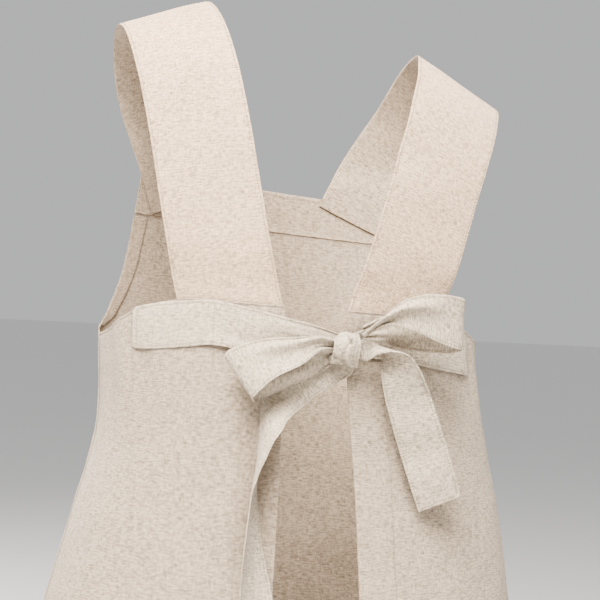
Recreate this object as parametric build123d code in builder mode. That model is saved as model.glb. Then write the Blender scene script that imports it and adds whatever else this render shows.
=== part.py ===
from build123d import *
import os
from math import cos, radians, sin

# Artist smock apron, in the shape it has on the wearer. Millimetres, +Z up.
# The wearer faces -Y, so the open back looks along +Y, and +X is the wearer's left.
# The origin is midway between the two points where the straps rest on the shoulders.

os.makedirs("parts", exist_ok=True)

# ---- driving dimensions -------------------------------------------------------------
cloth = 1.0            # one layer of linen
fold = 0.8             # a facing, lining or hem layer
air = 0.3              # space between neighbouring layers
strap_air = 0.6        # space between a strap's cloth and its lining
ribbon = 1.3           # the ties are folded double

hem_height = -950.0    # lowest edge of the skirt
bib_top = -130.0       # top edge of the bib, at the front
back_top = -245.5      # top edge of the back panels, where the straps are sewn on
side_top = -281.0      # lowest point of the armholes, at the side seams
flap_top = -610.0      # above this the back panels hang from the waist tie

strap_width = 90.0
tie_width = 38.0
facing_width = 35.0    # folded edge along each side of the back opening
hem_depth = 25.0
bib_half = 142.0       # half the width of the bib's top edge
pocket_width, pocket_depth = 150.0, 170.0
pocket_centre, pocket_top = 97.0, -420.0

lean_top = 8.5         # degrees by which the shoulder line drops to the wearer's right
lean_base = -300.0     # below this height the apron hangs straight
lean_slide = 6.0       # and the shoulders slide this far to the wearer's right

knot_centre = Vector(-28, 133, -280)
knot_radius, knot_depth = 14.3, 24.0

# ---- layers, measured outward from the wearer's clothes -----------------------------
lining_out = fold
panel_in = lining_out + air
panel_out = panel_in + cloth
trim_in = panel_out + air
trim_out = trim_in + fold
tie_in = panel_out + 0.8
tie_out = tie_in + ribbon

# ---- body form: height, half width, half depth, sideways shift -----------------------
body_sections = [
    (-110, 200, 104, 0),
    (-195, 188.5, 113, 0),
    (-280, 179, 116.2, -0.8),
    (-365, 183.5, 119, -9.5),
    (-450, 202, 129, -7.8),
    (-535, 220.5, 141.5, -4.8),
    (-620, 236, 153.3, -3.3),
    (-705, 246.5, 163.5, -2.2),
    (-790, 255, 172.5, -1.7),
    (-875, 263, 181, -1.4),
    (-960, 270.5, 189, -1.1),
    (-1045, 278, 197, -0.9),
]
roundness = 2.4        # 2 is an ellipse, more is flatter at the back and front


def lean_angle(height):
    """Tilt of the wearer's shoulders at a height, in degrees."""
    return lean_top * max(0.0, (height - lean_base) / -lean_base)


def worn(x, y, z):
    """Where a point of the symmetric pattern lies on the leaning wearer."""
    rise = max(0.0, (z - lean_base) / -lean_base)
    angle = radians(lean_angle(z))
    return Vector(x * cos(angle) - lean_slide * rise**2, y, z + x * sin(angle))


def worn_direction(direction, height):
    """A direction of the symmetric pattern, turned with the wearer's lean."""
    return direction.rotate(Axis.Y, -lean_angle(height))


def outline(x, z):
    """A pattern point in the plan of the back or front, for sketches on XZ planes."""
    point = worn(x, 0, z)
    return (point.X, point.Z)


def oval(half_width, half_depth, steps=20):
    """Points round one section of the body form."""
    points = []
    for step in range(steps):
        angle = 2 * radians(180) * step / steps
        across, deep = sin(angle), cos(angle)
        radius = (abs(across / half_width) ** roundness + abs(deep / half_depth) ** roundness)
        radius **= -1 / roundness
        points.append((radius * across, radius * deep))
    return points


def body_form(offset, sections=body_sections):
    """Solid of the wearer's form, grown outward by an offset."""
    with BuildPart() as form:
        for height, half_width, half_depth, shift in sections:
            angle = radians(lean_angle(height))
            origin = worn(0, 0, height) + Vector(shift, 0, 0)
            plane = Plane(origin, x_dir=(cos(angle), 0, sin(angle)),
                          z_dir=(-sin(angle), 0, cos(angle)))
            with BuildSketch(plane):
                with BuildLine():
                    Spline(*oval(half_width + offset, half_depth + offset), periodic=True)
                make_face()
        loft()
    return form.part


def prism(points, y_start, side, curve=()):
    """Block over an outline on XZ, from y_start towards side (+1 is the back)."""
    with BuildPart() as block:
        with BuildSketch(Plane.XZ.offset(-y_start)):
            with BuildLine():
                if curve:
                    Spline(*curve)
                    Polyline(curve[-1], *points, curve[0])
                else:
                    Polyline(*points, close=True)
            make_face()
        extrude(amount=400, dir=(0, side, 0))
    return block.part


print("body forms")
lining_inner = body_form(0)
lining_outer = body_form(lining_out)
panel_inner = body_form(panel_in)
panel_outer = body_form(panel_out)
trim_inner = body_form(trim_in)
trim_outer = body_form(trim_out)

# ---- front panel, bib facing and hem ------------------------------------------------
print("front")
wide = 330.0
armhole = [(bib_half, bib_top), (147, -175), (156, -228), (171, -266), (191, -290)]
armhole_left = [outline(x, z) for x, z in armhole]
armhole_right = [outline(-x, z) for x, z in reversed(armhole)]


with BuildPart() as front_panel:
    add(panel_outer)
    add(panel_inner, mode=Mode.SUBTRACT)
    with BuildSketch(Plane.XZ.offset(air)):
        with BuildLine():
            Spline(*armhole_left)
            Polyline(armhole_left[-1], (wide, -290), (wide, hem_height), (-wide, hem_height),
                     (-wide, -290), armhole_right[0])
            Spline(*armhole_right)
            Line(armhole_right[-1], armhole_left[0])
        make_face()
    extrude(amount=400, mode=Mode.INTERSECT)

with BuildPart() as bib_facing:
    add(lining_outer)
    add(lining_inner, mode=Mode.SUBTRACT)
    facing_low = bib_top - 40
    bib_corner = bib_half - 1
    add(prism([outline(-bib_corner, bib_top - 1), outline(bib_corner, bib_top - 1),
               outline(bib_corner + 3, facing_low), outline(-bib_corner - 3, facing_low)],
              -air, -1), mode=Mode.INTERSECT)

with BuildPart() as hem_front:
    add(lining_outer)
    add(lining_inner, mode=Mode.SUBTRACT)
    add(prism([(-wide, hem_height), (wide, hem_height), (wide, hem_height + hem_depth),
               (-wide, hem_height + hem_depth)], -2, -1), mode=Mode.INTERSECT)

front_panel.part.label = "front_panel"
bib_facing.part.label = "bib_facing"
hem_front.part.label = "hem_front"
export_step(front_panel.part, "parts/front_panel.step")
export_step(bib_facing.part, "parts/bib_facing.step")
export_step(hem_front.part, "parts/hem_front.step")

# ---- armhole facings: a strip inside each curved edge of the front -------------------
armhole_facing_width = 14.0
for name, side in (("armhole_facing_left", 1), ("armhole_facing_right", -1)):
    edge = [(bib_half, bib_top - 43), (156, -228), (171, -266), (183, -282)]
    inner_edge = [(x - armhole_facing_width, z - 6) for x, z in reversed(edge)]
    with BuildPart() as armhole_facing:
        add(lining_outer)
        add(lining_inner, mode=Mode.SUBTRACT)
        with BuildSketch(Plane.XZ.offset(3)):
            with BuildLine():
                outer_line = Spline(*[outline(side * x, z) for x, z in edge])
                inner_line = Spline(*[outline(side * x, z) for x, z in inner_edge])
                Line(outer_line @ 1, inner_line @ 0)
                Line(inner_line @ 1, outer_line @ 0)
            make_face()
        extrude(amount=400, mode=Mode.INTERSECT)
    armhole_facing.part.label = name
    export_step(armhole_facing.part, f"parts/{name}.step")

# ---- back panels, their flaps, facings and hems --------------------------------------
print("back")
# x of the centre-back edge at each height: the two edges are cut and hang differently
back_edges = {
    "left": [(28, back_top), (26, -300), (27, -400), (30, -500), (34, flap_top), (48, hem_height)],
    "right": [(-29, back_top), (-31, -300), (-42, -400), (-49, -500), (-56, flap_top),
              (-78, hem_height)],
}
side_curve = [(112, back_top), (136, -251), (156, -258.5), (172, -270), (191, -289)]


def edge_x(side_name, height):
    """x of the centre-back edge at a height, between its listed points."""
    points = back_edges[side_name]
    for (x0, z0), (x1, z1) in zip(points, points[1:]):
        if z1 <= height <= z0:
            return x0 + (x1 - x0) * (z0 - height) / (z0 - z1)
    raise ValueError(height)


def edge_strip(side_name, low, high, width):
    """Outline of a strip of the given width beside the centre-back edge."""
    side = 1 if side_name == "left" else -1
    heights = [high] + [z for x, z in back_edges[side_name] if low < z < high] + [low]
    near = [(edge_x(side_name, z), z) for z in heights]
    far = [(x + side * width, z) for x, z in reversed(near)]
    return [outline(x, z) for x, z in near + far]


for side_name, side in (("left", 1), ("right", -1)):
    curve = [outline(side * x, z) for x, z in side_curve]
    split = flap_top + air
    with BuildPart() as back_panel:
        add(panel_outer)
        add(panel_inner, mode=Mode.SUBTRACT)
        inner_edge = edge_strip(side_name, split, back_top, 0)[: 5]
        corners = [(side * wide, -289), (side * wide, split), *reversed(inner_edge)]
        add(prism(corners, air, 1, curve), mode=Mode.INTERSECT)
    back_panel.part.label = f"back_{side_name}"
    export_step(back_panel.part, f"parts/back_{side_name}.step")

    # the seam allowance of the flap keeps it clear of the front panel while it swings
    flap_start = 1.2
    with BuildPart() as skirt_flap:
        add(panel_outer)
        add(panel_inner, mode=Mode.SUBTRACT)
        add(prism([(edge_x(side_name, flap_top), flap_top - air), (side * wide, flap_top - air),
                   (side * wide, hem_height), (edge_x(side_name, hem_height), hem_height)],
                  flap_start, 1), mode=Mode.INTERSECT)
    skirt_flap.part.label = f"skirt_flap_{side_name}"
    export_step(skirt_flap.part, f"parts/skirt_flap_{side_name}.step")

    with BuildPart() as top_facing:
        add(lining_outer)
        add(lining_inner, mode=Mode.SUBTRACT)
        inner_x = back_edges[side_name][0][0]
        upper = [(inner_x, back_top - 1), (side * 112, back_top - 1), (side * 136, -252.5)]
        lower = [(side * 136, -276), (side * 112, back_top - 24), (inner_x, back_top - 24)]
        add(prism([outline(x, z) for x, z in upper + lower], 10, 1), mode=Mode.INTERSECT)
    top_facing.part.label = f"back_top_facing_{side_name}"
    export_step(top_facing.part, f"parts/back_top_facing_{side_name}.step")

    with BuildPart() as centre_facing:
        add(lining_outer)
        add(lining_inner, mode=Mode.SUBTRACT)
        add(prism(edge_strip(side_name, split, back_top - 25, facing_width), 10, 1),
            mode=Mode.INTERSECT)
    centre_facing.part.label = f"centre_facing_{side_name}"
    export_step(centre_facing.part, f"parts/centre_facing_{side_name}.step")

    with BuildPart() as flap_facing:
        add(lining_outer)
        add(lining_inner, mode=Mode.SUBTRACT)
        hem_gap = hem_height + hem_depth + 1
        add(prism(edge_strip(side_name, hem_gap, flap_top - air, facing_width), 10, 1),
            mode=Mode.INTERSECT)
    flap_facing.part.label = f"flap_facing_{side_name}"
    export_step(flap_facing.part, f"parts/flap_facing_{side_name}.step")

    with BuildPart() as flap_hem:
        add(lining_outer)
        add(lining_inner, mode=Mode.SUBTRACT)
        hem_edge = edge_x(side_name, hem_height + hem_depth)
        add(prism([(hem_edge, hem_height + hem_depth), (side * wide, hem_height + hem_depth),
                   (side * wide, hem_height), (edge_x(side_name, hem_height), hem_height)],
                  3, 1), mode=Mode.INTERSECT)
    flap_hem.part.label = f"flap_hem_{side_name}"
    export_step(flap_hem.part, f"parts/flap_hem_{side_name}.step")

# ---- side seams: felled towards the front -------------------------------------------
seam_width = 10.0
for name, side in (("side_seam_left", 1), ("side_seam_right", -1)):
    with BuildPart() as side_seam:
        add(trim_outer)
        add(trim_inner, mode=Mode.SUBTRACT)
        with Locations((side * 200, -air - seam_width / 2, (side_top + hem_height) / 2 - 4)):
            Box(260, seam_width, side_top - hem_height - 10, mode=Mode.INTERSECT)
    side_seam.part.label = name
    export_step(side_seam.part, f"parts/{name}.step")

# ---- shoulder straps: an outer cloth and a lining ------------------------------------
print("straps")
# centre of the strap and the way its face looks, from the back seam over to the bib
strap_stations = [
    ((75.5, 107.7, back_top + air), (0.215, 0.976, 0.00)),
    ((87, 108.0, -205), (0.220, 0.975, 0.02)),
    ((100.5, 105.0, -150), (0.240, 0.965, 0.08)),
    ((112.5, 98.0, -100), (0.260, 0.945, 0.18)),
    ((126, 82.0, -50), (0.280, 0.830, 0.48)),
    ((138, 50.0, -13), (0.330, 0.500, 0.80)),
    ((145, 8.0, 0), (0.430, 0.000, 0.903)),
    ((143, -35.0, -12), (0.380, -0.420, 0.82)),
    ((133, -72.0, -48), (0.280, -0.820, 0.50)),
    ((113, -93.0, -92), (0.220, -0.950, 0.22)),
    ((96, -98.5, bib_top + air), (0.200, -0.970, 0.00)),
]


def strap_layer(side, low, high, width):
    """One cloth of a strap: sections from the back seam to the bib, low to high off its centre."""
    centres = [Vector(*centre) for centre, face in strap_stations]
    with BuildPart() as layer:
        for index, (centre, face) in enumerate(strap_stations):
            ahead = centres[min(index + 1, len(centres) - 1)]
            behind = centres[max(index - 1, 0)]
            along = (ahead - behind).normalized()
            wide_here = width
            if index in (0, len(centres) - 1):
                level = Vector(0, 0, 1 if index == 0 else -1)
                wide_here = width / abs(along.dot(level))
                along = level
            across = along.cross(Vector(*face)).normalized()
            out = across.cross(along).normalized()
            middle = centres[index] + out * (low + high) / 2
            if side < 0:
                middle, across, along = (Vector(-v.X, v.Y, v.Z) for v in (middle, across, along))
            height = centres[index].Z
            plane = Plane(worn(*middle), x_dir=worn_direction(across, height),
                          z_dir=worn_direction(along, height))
            with BuildSketch(plane):
                Rectangle(wide_here, high - low)
        loft()
    return layer.part


for side_name, side in (("left", 1), ("right", -1)):
    with BuildPart() as strap:
        add(strap_layer(side, strap_air / 2, strap_air / 2 + cloth, strap_width))
    strap.part.label = f"strap_{side_name}"
    export_step(strap.part, f"parts/strap_{side_name}.step")
    with BuildPart() as strap_lining:
        add(strap_layer(side, -strap_air / 2 - fold, -strap_air / 2, strap_width - 2))
    strap_lining.part.label = f"strap_lining_{side_name}"
    export_step(strap_lining.part, f"parts/strap_lining_{side_name}.step")

# ---- waist ties: the sewn ends and the free spans to the knot -------------------------
print("ties")
tie_levels = {
    "left": {"top": [(157, -253.5), (135, -248), (114, -245), (89, -243.5)],
             "low": [(155.5, -291), (116, -286), (89, -282)],
             "span_top": [(88, -243.5), (26, -255.5), (-27, -266)],
             "span_low": [(88, -281.5), (26, -292), (-27, -292)]},
    "right": {"top": [(-153, -263), (-135, -257.5), (-114, -252.5), (-91, -250)],
              "low": [(-157.5, -301), (-116, -295), (-91, -291)],
              "span_top": [(-90, -250), (-60, -257), (-29, -266)],
              "span_low": [(-90, -291), (-60, -292), (-29, -292)]},
}
waist_half_width, waist_half_depth, waist_shift = 182.6, 117.4, -0.8


def waist_y(x, offset):
    """Depth of the back at the waist tie's level, for a given x and offset."""
    share = abs(x - waist_shift) / (waist_half_width + offset)
    return (waist_half_depth + offset) * (1 - share**roundness) ** (1 / roundness)


def tie_profile(x_list, offset):
    return [(x, waist_y(x, offset)) for x in x_list]


for side_name, side in (("left", 1), ("right", -1)):
    shape = tie_levels[side_name]
    with BuildPart() as tie_anchor:
        with BuildSketch(Plane.XY.offset(-310)):
            with BuildLine():
                xs = [side * x for x in (88.5, 105, 120, 135, 148, 160)]
                inner_line = Spline(*tie_profile(xs, tie_in))
                outer_line = Spline(*tie_profile(xs, tie_out))
                Line(inner_line @ 0, outer_line @ 0)
                Line(inner_line @ 1, outer_line @ 1)
            make_face()
        extrude(amount=80)
        add(prism(shape["top"] + list(reversed(shape["low"])), 30, 1), mode=Mode.INTERSECT)
    tie_anchor.part.label = f"tie_{side_name}_anchor"
    export_step(tie_anchor.part, f"parts/tie_{side_name}_anchor.step")

    # the span follows the back as far as the centre-back edge, then runs straight to the knot
    end_x = knot_centre.X + side * 0.6
    last_x = back_edges[side_name][1][0]
    with BuildPart() as tie_span:
        with BuildSketch(Plane.XY.offset(-310)):
            with BuildLine():
                xs = [side * 88, side * 70, side * 50, last_x + side * 2]
                knot_y = knot_centre.Y - knot_depth / 2 - 0.6
                inner_line = Spline(*tie_profile(xs, tie_in), (end_x, knot_y - ribbon))
                outer_line = Spline(*tie_profile(xs, tie_out), (end_x, knot_y))
                Line(inner_line @ 0, outer_line @ 0)
                Line(inner_line @ 1, outer_line @ 1)
            make_face()
        extrude(amount=80)
        add(prism(shape["span_top"] + list(reversed(shape["span_low"])), 30, 1), mode=Mode.INTERSECT)
    tie_span.part.label = f"tie_{side_name}_span"
    export_step(tie_span.part, f"parts/tie_{side_name}_span.step")

# ---- bow: knot, two loops and two tails -----------------------------------------------
with BuildPart() as bow_knot:
    with BuildSketch(Plane(knot_centre, x_dir=(1, 0, 0), z_dir=(0, 1, 0))):
        Circle(knot_radius)
    extrude(amount=knot_depth / 2, both=True)
    fillet(bow_knot.edges().filter_by(GeomType.CIRCLE), knot_depth * 0.4)
bow_knot.part.label = "bow_knot"
export_step(bow_knot.part, "parts/bow_knot.step")


def bow_loop(direction, drop_angle, path, edge_points, front_cut, front_y):
    """A loop of ribbon: its path seen from above, trimmed to its outline seen from behind."""
    angle = radians(drop_angle)
    across = Vector(direction * cos(angle), 0, -sin(angle))
    upright = Vector(direction * sin(angle), 0, cos(angle))
    origin = Vector(knot_centre.X, 0, knot_centre.Z)
    with BuildPart() as loop:
        with BuildSketch(Plane(origin, x_dir=across, z_dir=upright)) as profile:
            with BuildLine():
                points = [(u, direction * y) for u, y in path]
                Spline(*points)
            trace(line_width=ribbon)
        extrude(amount=60, both=True)
        add(prism(edge_points, 100, 1), mode=Mode.INTERSECT)
        with BuildSketch(Plane.XZ.offset(-front_y)):
            with BuildLine():
                Polyline(*front_cut, close=True)
            make_face()
        extrude(amount=-60, mode=Mode.SUBTRACT)
    return loop.part


left_path = [(15.6, 131.5), (36, 142), (62, 149), (86, 148), (99.5, 139), (88, 130.8), (62, 129.2),
             (36, 129.2), (15.6, 129.2)]
left_edge = [(-13, -276), (2, -270.5), (26, -271), (54, -274), (72, -280), (84, -292), (76, -304),
             (66, -316), (53, -329), (30, -324), (11, -315), (-7, -301), (-18, -294), (-13, -285)]
left_cut = [(-16, -281), (-1, -282), (18, -294.5), (41, -306), (52, -318), (48, -340), (-30, -340)]
with BuildPart() as bow_loop_left:
    add(bow_loop(1, 19, left_path, left_edge, left_cut, 133))
bow_loop_left.part.label = "bow_loop_left"
export_step(bow_loop_left.part, "parts/bow_loop_left.step")

right_path = [(15.6, 131.5), (34, 143), (58, 151), (84, 150), (99.5, 139), (88, 129.8), (62, 126.3),
              (36, 126.3), (15.6, 128.0)]
right_edge = [(-41, -266), (-54, -252), (-69, -236), (-87, -229), (-113, -228), (-130, -231),
              (-130, -276), (-119, -279.5), (-98, -279.5), (-78, -277), (-58, -273), (-43, -272)]
right_cut = [(-40, -268), (-56, -258), (-72, -258), (-89, -264), (-108, -271), (-120, -274),
             (-120, -300), (-40, -300)]
with BuildPart() as bow_loop_right:
    add(bow_loop(-1, -9, right_path, right_edge, right_cut, 133))
bow_loop_right.part.label = "bow_loop_right"
export_step(bow_loop_right.part, "parts/bow_loop_right.step")


def ribbon_loft(stations):
    """Ribbon through pairs of opposite edge points."""
    middles = [(Vector(*one) + Vector(*two)) / 2 for one, two in stations]
    with BuildPart() as strip:
        for index, (one, two) in enumerate(stations):
            ahead = middles[min(index + 1, len(middles) - 1)]
            behind = middles[max(index - 1, 0)]
            across = Vector(*two) - Vector(*one)
            along = ahead - behind
            square = along - across * (along.dot(across) / across.length**2)
            with BuildSketch(Plane(middles[index], x_dir=across, z_dir=square)):
                Rectangle(across.length, ribbon)
        loft()
    return strip.part


# each tail bends at a line across the ribbon, just below the bow
right_curl = [
    ((-44.8, 132, -275), (-44.6, 136, -289)),
    ((-49, 132, -273), (-50, 146, -283)),
    ((-55, 132, -276), (-62, 153, -280)),
    ((-58, 132, -283), (-76, 155, -283)),
    ((-58, 132, -295), (-88, 151, -294)),
    ((-60.5, 133, -311.5), (-97, 145, -308.5)),
]
right_hang = [
    ((-61, 133, -313.3), (-97.5, 144.7, -310.3)),
    ((-66, 131, -330), (-104, 142, -324)),
    ((-79, 129, -366), (-117, 138, -354)),
    ((-90, 128, -395), (-128, 135, -381)),
    ((-101, 127, -422), (-137.5, 133, -406)),
]
left_fall = [
    ((-32, 122.8, -303), (-13, 122.8, -286.5)),
    ((-3, 125, -321.6), (16, 122.7, -293)),
    ((11.5, 129.5, -333), (34, 121.5, -309)),
    ((25.6, 143, -342.8), (45, 121.8, -329)),
]
left_hang = [
    ((28, 146, -345.6), (45.6, 122, -332)),
    ((33, 155.5, -350.5), (47, 122.4, -341)),
    ((40.5, 159, -361.5), (47.5, 122.6, -356)),
    ((49, 161, -380.5), (47, 123, -376)),
    ((56.5, 160.8, -401.4), (46, 123.5, -398)),
    ((59.8, 163, -421.5), (44.8, 127, -420)),
    ((61.7, 164.8, -444), (41.5, 131.5, -445)),
    ((63.3, 165.6, -471), (36, 137.8, -472)),
    ((64, 164.7, -500), (31, 144, -500)),
    ((64.3, 165.5, -530), (29, 148.5, -530)),
    ((64.5, 167, -560), (27.8, 152.8, -560)),
    ((64.5, 169, -590), (27, 157, -590)),
]
for name, stations in (("tie_right_curl", right_curl), ("tie_right_tail", right_hang),
                       ("tie_left_fall", left_fall), ("tie_left_tail", left_hang)):
    with BuildPart() as strip:
        add(ribbon_loft(stations))
    strip.part.label = name
    export_step(strip.part, f"parts/{name}.step")

# ---- pockets on the front: gaping a little at the mouth -------------------------------
print("pockets")
pocket_low = pocket_top - pocket_depth


def pocket_form(offset):
    """Body form that stands off the skirt at the pockets' mouths and meets it below."""
    gapes = {-365: 19, -450: 17, -535: 9, -620: 3.3}
    sections = [(z, a + gapes[z], b + gapes[z], shift)
                for z, a, b, shift in body_sections if z in gapes]
    return body_form(offset, sections)


pocket_outer = pocket_form(0)
pocket_inner = pocket_form(-cloth)
hem_outer = pocket_form(-cloth - air)
hem_inner = pocket_form(-cloth - air - fold)
for side_name, side in (("left", 1), ("right", -1)):
    low_x, high_x = pocket_centre - pocket_width / 2, pocket_centre + pocket_width / 2
    with BuildPart() as hollow:
        add(pocket_inner)
        inset = 1.2
        add(prism([(side * (low_x + inset), pocket_top + 9),
                   (side * (high_x - inset), pocket_top + 9),
                   (side * (high_x - inset), pocket_low + inset),
                   (side * (low_x + inset), pocket_low + inset)], -20, -1), mode=Mode.INTERSECT)
    with BuildPart() as pocket:
        add(pocket_outer)
        add(trim_inner, mode=Mode.SUBTRACT)
        add(prism([(side * low_x, pocket_top), (side * high_x, pocket_top),
                   (side * high_x, pocket_low), (side * low_x, pocket_low)], -20, -1),
            mode=Mode.INTERSECT)
        add(hollow.part, mode=Mode.SUBTRACT)
    pocket.part.label = f"pocket_{side_name}"
    export_step(pocket.part, f"parts/pocket_{side_name}.step")

    with BuildPart() as pocket_hem:
        add(hem_outer)
        add(hem_inner, mode=Mode.SUBTRACT)
        margin = 2.0
        hem_low = pocket_top - 22
        add(prism([(side * (low_x + margin), pocket_top), (side * (high_x - margin), pocket_top),
                   (side * (high_x - margin), hem_low), (side * (low_x + margin), hem_low)],
                  -20, -1), mode=Mode.INTERSECT)
    pocket_hem.part.label = f"pocket_hem_{side_name}"
    export_step(pocket_hem.part, f"parts/pocket_hem_{side_name}.step")
print("done")
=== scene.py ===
"""Artist smock apron: washed linen panels, straps, waist ties, bow, pockets and stitching.

Metres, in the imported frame's axes: the wearer faces -Y, the open back looks along +Y,
and +X is the wearer's left. Lengths in the tables below are in millimetres."""
from math import cos, pi, radians, sin, tan

import bpy
import numpy as np
from mathutils import Matrix, Vector


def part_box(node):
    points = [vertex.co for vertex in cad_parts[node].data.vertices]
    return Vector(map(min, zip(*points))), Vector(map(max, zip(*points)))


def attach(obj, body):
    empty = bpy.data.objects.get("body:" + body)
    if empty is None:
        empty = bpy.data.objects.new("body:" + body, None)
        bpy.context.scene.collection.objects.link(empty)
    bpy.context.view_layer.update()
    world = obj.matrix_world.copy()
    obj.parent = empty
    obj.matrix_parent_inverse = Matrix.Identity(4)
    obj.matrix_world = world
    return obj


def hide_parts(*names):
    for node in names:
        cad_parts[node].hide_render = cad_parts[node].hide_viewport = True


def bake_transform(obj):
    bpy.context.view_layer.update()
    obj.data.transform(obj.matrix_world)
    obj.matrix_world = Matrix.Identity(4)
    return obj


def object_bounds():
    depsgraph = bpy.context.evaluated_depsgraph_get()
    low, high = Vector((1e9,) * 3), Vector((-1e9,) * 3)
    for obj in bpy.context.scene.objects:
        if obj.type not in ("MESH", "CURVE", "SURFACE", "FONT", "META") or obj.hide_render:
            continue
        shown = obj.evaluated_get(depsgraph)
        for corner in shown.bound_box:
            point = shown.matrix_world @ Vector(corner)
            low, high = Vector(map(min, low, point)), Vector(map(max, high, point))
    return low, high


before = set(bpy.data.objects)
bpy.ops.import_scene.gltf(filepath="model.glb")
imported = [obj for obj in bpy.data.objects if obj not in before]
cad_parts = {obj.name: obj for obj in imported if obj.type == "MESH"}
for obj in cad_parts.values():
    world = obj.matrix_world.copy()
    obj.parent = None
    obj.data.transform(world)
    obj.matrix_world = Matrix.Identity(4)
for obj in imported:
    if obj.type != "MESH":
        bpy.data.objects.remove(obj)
cad_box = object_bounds()
SIDES = (("left", 1), ("right", -1))

# ---- heights and sizes, in millimetres ----
HEM = 1000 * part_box("front_panel")[0].z
BIB_TOP, BACK_TOP, SIDE_TOP = -130.0, -245.5, -281.0
FLAP_TOP = 1000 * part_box("skirt_flap_left")[1].z
CLOTH, FOLD = 0.7, 0.5          # thickness of one cloth, and of a folded layer inside
PANEL, FACING, TRIM, TIE = 1.6, 0.75, 2.3, 3.1   # how far each layer lies off the form
HEM_DEPTH, FACING_WIDTH = 25.0, 35.0
EDGE_LINES = [0, 0.7, 1.5, 2.2, 2.9, 3.6, 5.0, 7.5]   # grid lines beside a stitched edge
STITCH_INSET = 2.2
INSET = EDGE_LINES.index(STITCH_INSET)
at = np.s_                      # at[rows, columns] names a part of a grid


# ---- curves and smooth variation ----
def spline(points, t):
    """Smooth curve through points, at parameters t that run from 0 to their count less 1."""
    points = np.asarray(points, float)
    t = np.clip(np.asarray(t, float), 0, len(points) - 1 - 1e-9)
    i = t.astype(int)
    f = (t - i)[..., None] if points.ndim > 1 else t - i
    slope = np.gradient(points, axis=0)
    p, q, m, n = points[i], points[i + 1], slope[i], slope[i + 1]
    return (p * (2 * f**3 - 3 * f**2 + 1) + m * (f**3 - 2 * f**2 + f)
            + q * (3 * f**2 - 2 * f**3) + n * (f**3 - f**2))


def by_key(table, key):
    """Value of a two-column table at a key, smooth between its rows."""
    table = np.asarray(table, float)
    table = table[np.argsort(table[:, 0])]
    place = np.interp(key, table[:, 0], np.arange(len(table)))
    return spline(table[:, 1], place)


def ramp(value, start, end):
    """0 before start, 1 after end, smooth between."""
    t = np.clip((np.asarray(value, float) - start) / (end - start), 0, 1)
    return t * t * (3 - 2 * t)


def hump(value, centre, width):
    return np.exp(-((value - centre) / width) ** 2)


def ripple(coordinates, seed, wavelength, count=8):
    """Gentle uneven waves about 1 high over some coordinates, from a fixed seed."""
    rng = np.random.default_rng(seed)
    total = 0.0
    for _ in range(count):
        way = rng.normal(size=len(coordinates))
        way *= 2 * pi / (wavelength * rng.uniform(0.65, 1.7) * np.linalg.norm(way))
        total = total + np.sin(sum(w * c for w, c in zip(way, coordinates)) + rng.uniform(0, 2 * pi))
    return total / np.sqrt(count / 2)


def unit(vectors):
    return vectors / np.maximum(np.linalg.norm(vectors, axis=-1, keepdims=True), 1e-9)


# ---- the form that the apron is worn on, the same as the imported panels' ----
FORM_TOP, FORM_STEP, ROUNDNESS = -110.0, 85.0, 2.4
# half width, half depth and sideways shift, at even steps down from the top
FORM = [(200, 104, 0), (188.5, 113, 0), (179, 116.2, -0.8), (183.5, 119, -9.5), (202, 129, -7.8),
        (220.5, 141.5, -4.8), (236, 153.3, -3.3), (246.5, 163.5, -2.2), (255, 172.5, -1.7),
        (263, 181, -1.4), (270.5, 189, -1.1), (278, 197, -0.9)]
LEAN_TOP, LEAN_BASE, LEAN_SLIDE = radians(8.5), -300.0, 6.0


def worn(points):
    """Points of the symmetric pattern, moved to where they lie on the leaning wearer."""
    points = np.asarray(points, float)
    x, y, z = points[..., 0], points[..., 1], points[..., 2]
    rise = np.maximum(0, (z - LEAN_BASE) / -LEAN_BASE)
    lean = LEAN_TOP * rise
    return np.stack([x * np.cos(lean) - LEAN_SLIDE * rise**2, y, z + x * np.sin(lean)], -1)


def form_rows(height):
    return np.moveaxis(spline(FORM, (FORM_TOP - np.asarray(height, float)) / FORM_STEP), -1, 0)


def angle_at(x, height, offset=0.0):
    """Angle round the form, from the middle of the back, of a point with that pattern x."""
    half_width, half_depth, shift = form_rows(height)
    across = np.clip((x - shift) / (half_width + offset), -0.99999, 0.99999)
    deep = (1 - np.abs(across) ** ROUNDNESS) ** (1 / ROUNDNESS)
    return np.arctan2(across * (half_width + offset), deep * (half_depth + offset))


def drape(angle, height):
    """How far the cloth stands off the form: flutes that open downwards, and small slack."""
    place = (200 * np.sin(angle), 200 * np.cos(angle), height)
    low = ramp(-height, 430, 960)
    flutes = (np.sin(9 * angle + 0.7 + 0.0012 * height) * 0.6
              + np.sin(14 * angle + 2.1 - 0.0020 * height) * 0.4
              + np.sin(5 * angle - 1.3) * 0.5)
    slack = ramp(-height, 250, 420)
    from_back = np.abs(np.mod(angle + pi, 2 * pi) - pi)
    side_fold = (2.0 * hump(from_back, 1.23, 0.06) - 2.4 * hump(from_back, 1.08, 0.07)
                 - 3.0 * hump(from_back, 1.36, 0.06)) * hump(height, -305, 42)
    return (8.0 * low * flutes + slack * (1.2 * ripple(place, 3, 170) + 0.2)
            + 0.30 * ripple(place, 5, 48) * slack + side_fold + 0.10 * ripple(place, 8, 17))


def section(angle, height, offset):
    """x and y on the bare form's section, and the section's half width and depth there."""
    half_width, half_depth, _ = form_rows(height)
    a, b = half_width + offset, half_depth + offset
    across, deep = np.sin(angle), np.cos(angle)
    radius = (np.abs(across / a) ** ROUNDNESS + np.abs(deep / b) ** ROUNDNESS) ** (-1 / ROUNDNESS)
    return radius * across, radius * deep, a, b


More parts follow.
